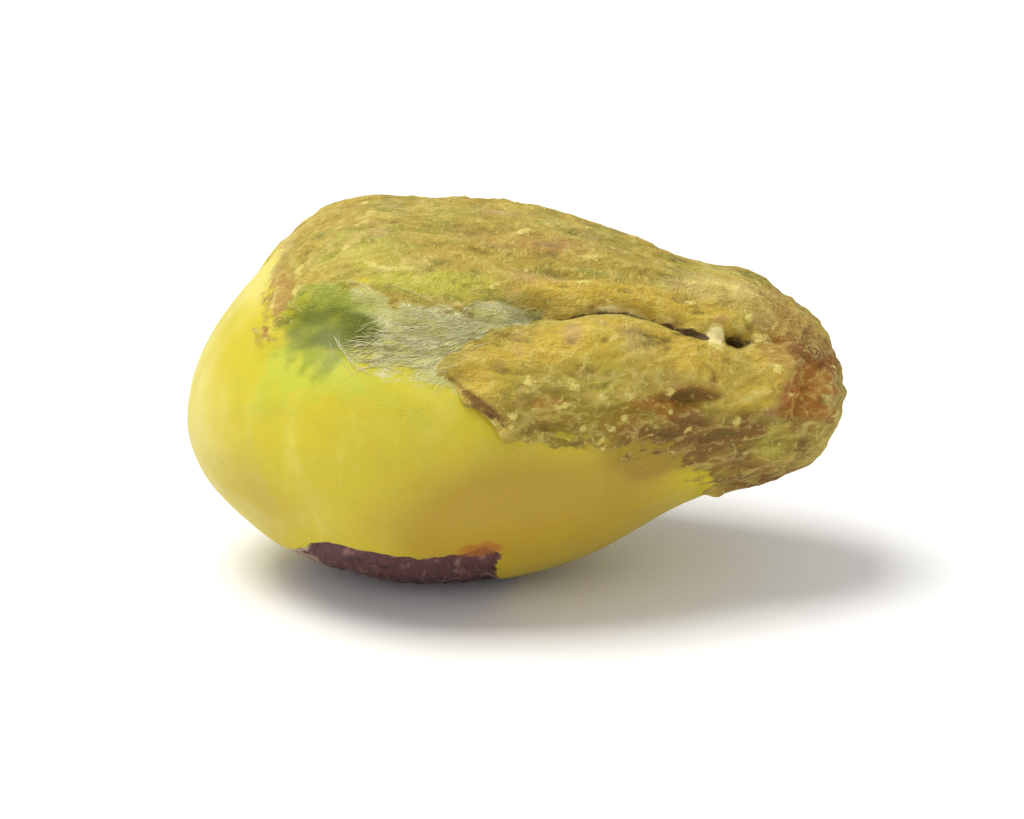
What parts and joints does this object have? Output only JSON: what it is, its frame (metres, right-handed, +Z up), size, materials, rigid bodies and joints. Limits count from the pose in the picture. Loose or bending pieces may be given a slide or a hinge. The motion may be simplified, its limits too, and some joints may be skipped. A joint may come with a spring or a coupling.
{
  "type": "shelled pistachio kernel",
  "caption": "Shelled pistachio kernel: a long rounded seed, broad at one end, with an open seam, bare green seed leaf and wrinkled papery skin, lying on its side.",
  "frame": {"origin": "on the surface that the kernel rests on, under the middle of its bounding box", "axes": "+X along the kernel towards its narrow end, -Y the side with the open seam, +Z up"},
  "size_m": [0.0176, 0.011, 0.0103],
  "materials": {
    "kernel": "waxy bare seed leaf with matt, wrinkled papery skin"
  },
  "bodies": {
    "root": {"kernel": "kernel"}
  },
  "joints": []
}
